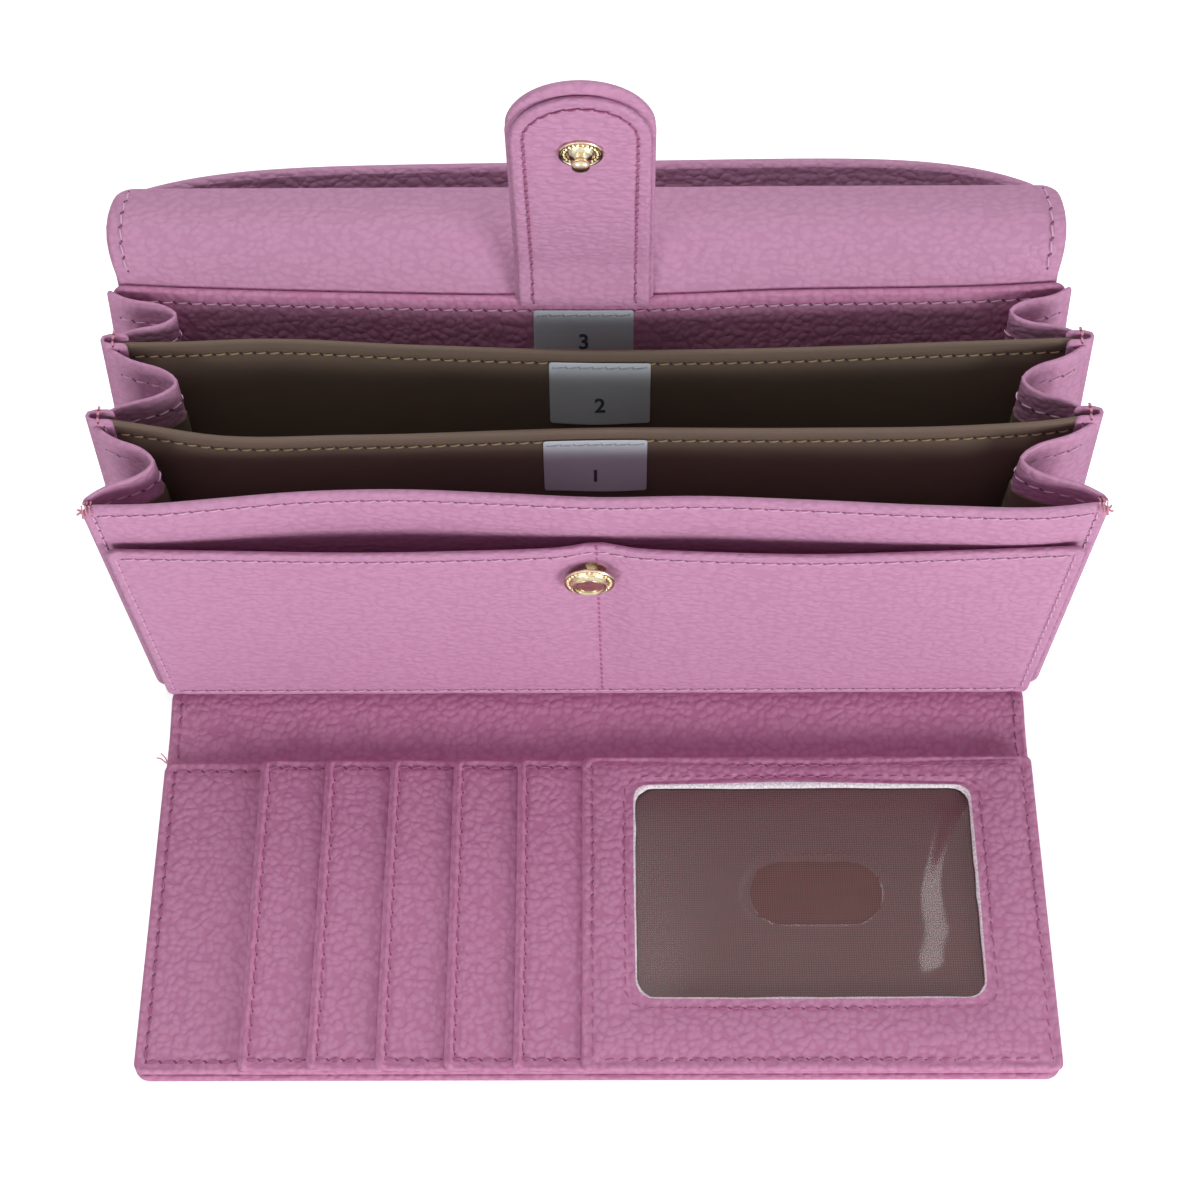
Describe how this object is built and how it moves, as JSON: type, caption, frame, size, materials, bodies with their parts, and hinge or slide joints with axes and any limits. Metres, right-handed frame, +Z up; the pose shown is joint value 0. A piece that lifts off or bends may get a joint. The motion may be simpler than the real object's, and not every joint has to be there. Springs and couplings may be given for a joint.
{
  "type": "clutch wallet",
  "caption": "Open accordion clutch wallet: card flap with slots and ID window in front, gusseted compartments, snap tab on the back.",
  "frame": {"origin": "middle of the underside of the cover, below the compartments", "axes": "+X to the wallet's right as it lies open, +Y to the back, +Z up"},
  "size_m": [0.194, 0.1652, 0.1506],
  "materials": {
    "pink_leather": "pebbled, satin",
    "taupe_nylon": "woven, matte",
    "white_satin": "satin ribbon",
    "gold_metal": "polished, pale gold",
    "clear_vinyl": "clear, glossy"
  },
  "bodies": {
    "base": {"cover_base": "pink_leather", "front_wall": "pink_leather", "front_wall_lining": "taupe_nylon", "front_pocket": "pink_leather", "snap_socket": "gold_metal", "socket_rivet": "gold_metal", "gusset_left_front": "pink_leather", "gusset_right_front": "pink_leather"},
    "divider_1": {"front_divider": "taupe_nylon", "label_1": "white_satin", "gusset_left_middle": "pink_leather", "gusset_right_middle": "pink_leather"},
    "divider_2": {"rear_divider": "taupe_nylon", "label_2": "white_satin", "gusset_left_rear": "pink_leather", "gusset_right_rear": "pink_leather"},
    "back": {"rear_wall": "pink_leather", "rear_wall_lining": "taupe_nylon", "label_3": "white_satin", "back_panel": "pink_leather", "back_pocket_sheet": "pink_leather"},
    "tab": {"tab_lining": "pink_leather", "tab_outer": "pink_leather", "snap_stud": "gold_metal", "snap_cap": "gold_metal"},
    "flap": {"cover_flap": "pink_leather", "card_panel": "pink_leather", "card_slot_1": "pink_leather", "card_slot_2": "pink_leather", "card_slot_3": "pink_leather", "card_slot_4": "pink_leather", "card_slot_5": "pink_leather", "id_window_lining": "taupe_nylon", "id_window_film": "clear_vinyl", "id_window_frame": "pink_leather"}
  },
  "joints": [
    {"name": "flap_fold", "type": "hinge", "parent": "base", "child": "flap", "pos_m": [0, -0.0185, 0.0008], "axis": [-1, 0, 0], "range_deg": [0, 88]},
    {"name": "accordion_close", "type": "hinge", "parent": "base", "child": "divider_1", "pos_m": [0, -0.0035, 0.0021], "axis": [1, 0, 0], "range_deg": [0, 10.5], "deforming": ["gusset_left_front", "gusset_right_front"]},
    {"name": "accordion_middle", "type": "hinge", "parent": "divider_1", "child": "divider_2", "pos_m": [0, 0.0035, 0.0021], "axis": [1, 0, 0], "range_deg": [0, 8.1], "deforming": ["gusset_left_middle", "gusset_right_middle"]},
    {"name": "accordion_rear", "type": "hinge", "parent": "divider_2", "child": "back", "pos_m": [0, 0.0105, 0.0021], "axis": [1, 0, 0], "range_deg": [0, 4.8], "deforming": ["gusset_left_rear", "gusset_right_rear"]},
    {"name": "tab_fold", "type": "hinge", "parent": "back", "child": "tab", "pos_m": [-0.0012, 0.045, 0.0808], "axis": [1, 0, 0], "range_deg": [-15, 45]}
  ],
  "couplings": [
    {"joint": "accordion_middle", "follows": "accordion_close", "ratio": 0.7632},
    {"joint": "accordion_rear", "follows": "accordion_close", "ratio": 0.4517}
  ]
}
